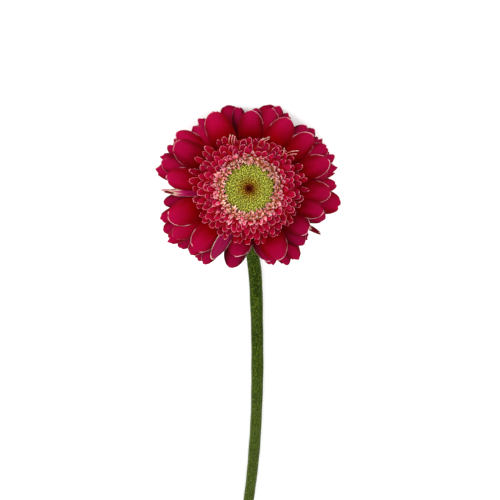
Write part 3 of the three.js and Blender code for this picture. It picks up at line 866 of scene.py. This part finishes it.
def modelBud(name):
    # an egg of few faces, pinched towards its top
    length = disc["budLength"]
    deselectAll()
    bpy.ops.mesh.primitive_uv_sphere_add(segments=6, ring_count=6, radius=1)
    bud = bpy.context.object
    bud.name = name
    editAll()
    bpy.ops.transform.resize(value=(1, 1, length), center_override=(0, 0, 0))
    bpy.ops.object.mode_set(mode="OBJECT")
    heights = np.array([vertex.co.z / length for vertex in bud.data.vertices])
    for vertex, height in zip(bud.data.vertices, heights):
        pinch = 1 - disc["pinch"] * max(0.0, height)
        vertex.co.x *= pinch
        vertex.co.y *= pinch
    # how high a point sits on the bud, which sets the painted light at its tip and the painted
    # shade at its base
    layer = bud.data.attributes.new("raised", "FLOAT", "POINT")
    layer.data.foreach_set("value", np.clip(heights * 0.9 + 0.1, 0, 1).astype(np.float32))
    return bud


def placeBud(bud, radius, angle, size, height, lean):
    twin = copyOf(bud)
    place = (
        headMatrix
        @ Matrix.Rotation(angle, 4, "Z")
        @ Matrix.Translation((radius, 0, height))
        @ Matrix.Rotation(lean, 4, "Y")
        @ Matrix.Scale(size, 4)
    )
    twin.data.transform(place)
    return twin


def buildDisc():
    vary = disc["scatter"]
    bud = modelBud("discBuds")
    buds = []
    for index in range(disc["count"]):
        share = (index + 0.5) / disc["count"]
        radius = math.sqrt(disc["inner"] ** 2 + (disc["outer"] ** 2 - disc["inner"] ** 2) * share)
        radius += vary["radius"] * (scatter(index, 6) - 0.5)
        angle = index * goldenAngle + vary["turn"] * (scatter(index, 7) - 0.5) / radius
        size = disc["size"] * (0.8 + 0.25 * share) * (0.8 + 0.4 * scatter(index, 2))
        lean = disc["leanOut"] * (radius - 5) + vary["lean"] * (scatter(index, 3) - 0.5)
        height = discHeight(radius) - disc["sunk"] + vary["rise"] * scatter(index, 4)
        twin = placeBud(bud, radius, angle, size, height, lean)
        setTone(twin, scatter(index, 5))
        setTone(twin, radius / disc["outer"], "fromCentre")
        buds.append(twin)
    bpy.data.objects.remove(bud)
    buds = joined(buds, "discBuds")
    core = turnedBody("discCore", disc["core"], 48)
    setTone(core, 0.2)
    # the core between the buds gets the painted shade of the buds' bases
    setTone(core, 0.25, "raised")
    spots = [headMatrix.inverted() @ vertex.co for vertex in core.data.vertices]
    setTone(core, [math.hypot(spot.x, spot.y) / disc["outer"] for spot in spots], "fromCentre")
    core.data.materials.append(discSkin)
    buds.data.materials.append(discSkin)
    whole = joined([buds, core], "discBuds")
    shadeSmooth(whole, 70)
    finishPiece(whole, "disc_florets")


centreBuds = {
    "count": 36, "radius": 1.95, "size": 0.27, "height": 16.75, "rise": 0.2, "slope": 0.06,
    "lean": -0.15,
}


def buildCentre():
    bud = modelBud("centreBuds")
    buds = []
    for index in range(centreBuds["count"]):
        radius = centreBuds["radius"] * math.sqrt((index + 0.5) / centreBuds["count"])
        size = centreBuds["size"] * (0.85 + 0.3 * scatter(index, 12))
        height = centreBuds["height"] + centreBuds["rise"] * scatter(index, 13)
        height += centreBuds["slope"] * radius
        twin = placeBud(bud, radius, index * goldenAngle, size, height, centreBuds["lean"])
        setTone(twin, scatter(index, 14))
        setTone(twin, radius / disc["outer"], "fromCentre")
        buds.append(twin)
    bpy.data.objects.remove(bud)
    whole = joined(buds, "centreBuds")
    whole.data.materials.append(centreSkin)
    shadeSmooth(whole, 70)
    finishPiece(whole, "centre_buds")


anthers = {
    "count": 64, "inner": 9.7, "spread": 2.2,  # the radius they start at, and how far they spread
    "height": 17.1, "rise": 0.7, "lean": 0.4, "radius": 0.2, "halfLength": 1.2, "bevel": 0.3,
}


def buildAnthers():
    deselectAll()
    bpy.ops.mesh.primitive_cylinder_add(vertices=6, radius=1, depth=2)
    rod = bpy.context.object
    rod.name = "antherTubes"
    editAll()
    bpy.ops.mesh.bevel(offset=anthers["bevel"], segments=2)
    bpy.ops.object.mode_set(mode="OBJECT")
    size = (anthers["radius"], anthers["radius"], anthers["halfLength"], 1)
    rods = []
    for index in range(anthers["count"]):
        radius = anthers["inner"] + anthers["spread"] * scatter(index, 21)
        angle = fullTurn * (index + 0.6 * scatter(index, 22)) / anthers["count"]
        height = anthers["height"] + anthers["rise"] * scatter(index, 23)
        lean = anthers["lean"] * (scatter(index, 24) - 0.5)
        twin = copyOf(rod)
        twin.data.transform(
            headMatrix
            @ Matrix.Rotation(angle, 4, "Z")
            @ Matrix.Translation((radius, 0, height))
            @ Matrix.Rotation(lean, 4, "Y")
            @ Matrix.Diagonal(size)
        )
        rods.append(twin)
    bpy.data.objects.remove(rod)
    whole = joined(rods, "antherTubes")
    whole.data.materials.append(antherSkin)
    shadeSmooth(whole, 60)
    finishPiece(whole, None)


buildDisc()
buildCentre()
buildAnthers()
print("disc filled")


involucre = {
    # the cup: radius and height pairs
    "cup": [
        (0.01, 0.45), (3.1, 0.45), (4.3, 0.8), (5.3, 1.5), (6.6, 2.7), (7.6, 4.2), (8.4, 6.2),
        (8.9, 8.5), (0.01, 8.6),
    ],
    "columns": 4,
    "rows": 8,
    "thickness": 0.3,
    "shape": {
        "start": 0.0, "claw": 0.75, "full": 0.4, "setback": 0.5, "taper": 0.7, "dome": -0.15,
        "groove": 0.0, "ripple": 0.03,
    },
    # count, half width and path, as radius and height pairs from root to tip
    "bracts": [
        (26, 0.95, ((7.4, 4.2), (8.8, 6.0), (10.0, 7.4), (11.4, 8.5))),
        (22, 0.95, ((5.8, 2.2), (7.7, 3.4), (9.2, 4.8), (10.4, 6.3))),
        (18, 0.85, ((4.0, 0.9), (5.8, 1.6), (7.4, 2.6), (8.8, 3.8))),
    ],
}


def buildInvolucre():
    sheet = modelSheet("cupBracts", involucre["columns"], involucre["rows"])
    bracts = []
    index = 300
    for number, (count, half, path) in enumerate(involucre["bracts"]):
        for place in range(count):
            turn = (place + 0.5 * (number % 2) + 0.3 * (scatter(index, 1) - 0.5)) / count
            bract = copyOf(sheet)
            bendSheet(bract, {
                **plainShape,
                **involucre["shape"],
                "azimuth": turn * fullTurn,
                "path": path,
                "half": half * (0.85 + 0.3 * scatter(index, 2)),
                "roll": 0.3 * (scatter(index, 3) - 0.5),
                "curl": -0.4 * scatter(index, 4),
            })
            bracts.append(bract)
            index += 1
    bpy.data.objects.remove(sheet)
    whole = joined(bracts, "cupBracts")
    thicken(whole, involucre["thickness"], (cupSkin, cupSkin, cupSkin))
    cup = turnedBody("cupBody", involucre["cup"], 48)
    cup.data.materials.append(cupSkin)
    shadeSmooth(cup)
    finishPiece(joined([whole, cup], "cupBracts"), "involucre")


stem = {
    "sides": 72,
    "steps": 101,
    "bow": 11.46, "bowSkew": 0.62, "bowLength": 219,  # how it bows sideways, mm
    "crook": 0.9, "crookAt": 46, "crookLength": 10,  # a slight crook just below the head
    "ribs": 9, "ribDepth": 0.07, "ribTwist": 0.02,
    "wide": 1.14, "headWide": 0.05,  # its width by its height, and what the head's end adds
    "grey": 0.7, "greyFrom": 0.48, "greyOver": 0.3,  # its lower part is greyer
}


def bow(back):
    share = back / stem["bowLength"]
    crook = stem["crook"] * math.exp(-(((back - stem["crookAt"]) / stem["crookLength"]) ** 2))
    return stem["bow"] * share * (1 - share) * (1 + stem["bowSkew"] * share) - crook


def stemPlace(along):  # a point of the stem's centre line, mm, by its length from the head
    bend = math.pi / 2 - tilt
    neck = flower["neckRadius"] * bend
    angle = bend - min(along, neck) / flower["neckRadius"]
    back = flower["neckRadius"] * (math.sin(bend) - math.sin(angle)) + max(0.0, along - neck)
    height = headHeight - flower["neckRadius"] * (math.cos(angle) - math.cos(bend))
    return Vector((flower["headBase"][0] + bow(back), flower["headBase"][1] - back, height))


def stemFrame(along):
    centre = stemPlace(along)
    heading = (stemPlace(along + 0.1) - stemPlace(max(0.0, along - 0.1))).normalized()
    across = (Vector((1, 0, 0)) - heading * heading.x).normalized()
    return centre, across, across.cross(heading).normalized() * -1


def stemRadiusAt(along):
    flare = math.exp(-((along / flower["stemFlareLength"]) ** 2))
    return flower["stemRadius"] + flower["stemFlare"] * flare


def stemEnd():  # the stem's whole length along its centre line, mm
    bend = math.pi / 2 - tilt
    neck = flower["neckRadius"] * bend
    return neck + flower["stemLength"] - flower["neckRadius"] * math.sin(bend)


def buildStem():
    deselectAll()
    bpy.ops.mesh.primitive_cylinder_add(
        vertices=stem["sides"], radius=1, depth=1, end_fill_type="TRIFAN"
    )
    stalk = bpy.context.object
    stalk.name = "stemStalk"
    bpy.ops.object.mode_set(mode="EDIT")
    bpy.ops.mesh.select_mode(type="EDGE")  # or the rings' edges would be cut as well
    bpy.ops.mesh.select_all(action="DESELECT")
    bpy.ops.object.mode_set(mode="OBJECT")
    for edge in stalk.data.edges:
        low, high = (stalk.data.vertices[i].co for i in edge.vertices)
        edge.select = abs(low.z - high.z) > 0.5
    bpy.ops.object.mode_set(mode="EDIT")
    bpy.ops.mesh.subdivide(number_cuts=stem["steps"] - 1)
    bpy.ops.mesh.select_mode(type="VERT")
    bpy.ops.object.mode_set(mode="OBJECT")
    length = stemEnd()
    frames = {}
    greyness = []
    for vertex in stalk.data.vertices:
        share = 0.5 - vertex.co.z
        lower = min(1.0, max(0.0, (share - stem["greyFrom"]) / stem["greyOver"]))
        greyness.append(stem["grey"] * lower)
        key = round(share * stem["steps"])
        if key not in frames:
            frames[key] = stemFrame(share * length)
        centre, across, up = frames[key]
        along = share * length
        angle = math.atan2(vertex.co.y, vertex.co.x)
        ribs = math.cos(stem["ribs"] * angle + along * stem["ribTwist"]) - 1
        swell = 0.05 * math.sin(along * 0.11) + 0.04 * math.sin(along * 0.31 + 1.0) - 0.08
        radius = stemRadiusAt(along) + stem["ribDepth"] * ribs + swell
        radius *= math.hypot(vertex.co.x, vertex.co.y)
        wide = stem["wide"] + stem["headWide"] * (1 - along / length)
        place = centre + across * math.cos(angle) * radius * wide + up * math.sin(angle) * radius
        vertex.co = place * mm
    setTone(stalk, greyness)
    stalk.data.materials.append(stemSkin)
    editAll()
    bpy.ops.mesh.normals_make_consistent(inside=False)
    bpy.ops.object.mode_set(mode="OBJECT")
    shadeSmooth(stalk)
    finishPiece(stalk, "stem")


down = {
    "hairs": 5200, "length": 0.5, "radius": 0.03, "lean": 0.9,
    "sunk": 0.2,  # how deep a hair's root is in the stem
    "clearance": 0.1,  # hairs that would reach the surface the stem lies on are left out
}


def buildDown():
    # short down all round the stem, each hair a thin three-sided spike
    length = stemEnd()
    points, faces = [], []
    for index in range(down["hairs"]):
        along = 1.0 + (length - 2.0) * scatter(index, 31) ** 0.75
        angle = fullTurn * scatter(index, 32)
        centre, across, up = stemFrame(along)
        out = across * math.cos(angle) + up * math.sin(angle)
        side = across * -math.sin(angle) + up * math.cos(angle)
        root = centre + out * (stemRadiusAt(along) - down["sunk"])
        heading = side.cross(out)
        reach = down["length"] * (0.5 + 0.8 * scatter(index, 33))
        lean = side * (scatter(index, 34) - 0.5) + heading * (scatter(index, 35) - 0.5)
        tip = root + (out + lean * down["lean"]).normalized() * reach
        if tip.z < down["clearance"]:
            continue
        first = len(points)
        for corner in range(3):
            turn = fullTurn * corner / 3
            spoke = side * math.cos(turn) + heading * math.sin(turn)
            points.append((root + spoke * down["radius"]) * mm)
        points.append(tip * mm)
        faces += [(first, first + 1, first + 3), (first + 1, first + 2, first + 3),
                  (first + 2, first, first + 3), (first + 2, first + 1, first)]
    mesh = bpy.data.meshes.new("stemDown")
    mesh.from_pydata([tuple(point) for point in points], [], faces)
    hairs = bpy.data.objects.new("stemDown", mesh)
    bpy.context.collection.objects.link(hairs)
    mesh.materials.append(downSkin)
    finishPiece(hairs, None)


buildInvolucre()
buildStem()
buildDown()
print("stem grown")


stage = {
    "floorSize": 4.0,
    "floorDrop": 0.0002,  # how far the floor lies below the resting plane
    "floorColour": "#FAFAFA",
    "floorGlow": 0.2,
    "pixel": 0.3705,  # mm of the head for one pixel of a 500 pixel picture
    "centrePixel": (249.0, 188.5),  # where the middle of the disc falls
    "discHeight": 17,  # of that middle above the head's base, mm
    "lookDown": 43.0,  # degrees between the line of sight and straight down
    "distance": 450.0,
    "sensor": 36,
    "lights": {  # place, size and power
        "keySoftbox": ((-0.75, 0.7, 0.55), 0.5, 6.5),
        "fillSoftbox": ((0.5, 0.3, 0.9), 0.8, 2.5),
    },
    "skyStrength": 1.0,
}
white = hexColour("#FFFFFF")
deselectAll()
bpy.ops.mesh.primitive_plane_add(size=stage["floorSize"], location=(0, 0, -stage["floorDrop"]))
floor = bpy.context.object
floor.name = "floor"
# White paper on a light table: matte, even and bright.
floorPaint = startMaterial(
    "floorPaperWhite", 0.9, Base_Color=hexColour(stage["floorColour"]), Emission_Color=white,
    Emission_Strength=stage["floorGlow"],
)[0]
floor.data.materials.append(floorPaint)

lookDown = math.radians(stage["lookDown"])
back = Vector((0, math.sin(lookDown), math.cos(lookDown)))
upward = Vector((0, math.cos(lookDown), -math.sin(lookDown)))
rightward = Vector((1, 0, 0))
discMiddle = headMatrix @ Vector((0, 0, stage["discHeight"]))
offset = rightward * (250 - stage["centrePixel"][0]) - upward * (250 - stage["centrePixel"][1])
target = discMiddle + offset * stage["pixel"] * mm
bpy.ops.object.camera_add(location=target + back * stage["distance"] * mm)
camera = bpy.context.object
camera.rotation_mode = "QUATERNION"
camera.rotation_quaternion = Matrix((rightward, upward, back)).transposed().to_quaternion()
camera.data.sensor_width = stage["sensor"]
camera.data.lens = stage["sensor"] * stage["distance"] / (500 * stage["pixel"])
camera.data.clip_start = 0.01
bpy.context.scene.camera = camera

for name, (place, size, power) in stage["lights"].items():
    bpy.ops.object.light_add(type="AREA", location=place)
    light = bpy.context.object
    light.name = name
    light.data.size = size
    light.data.energy = power
    aim = discMiddle - Vector(place)
    light.rotation_euler = aim.to_track_quat("-Z", "Y").to_euler()

world = bpy.data.worlds.new("studio")
bpy.context.scene.world = world
world.use_nodes = True
sky = world.node_tree.nodes["Background"]
sky.inputs[0].default_value = white
sky.inputs[1].default_value = stage["skyStrength"]
bpy.context.scene.view_settings.view_transform = "Standard"

print("stage set")
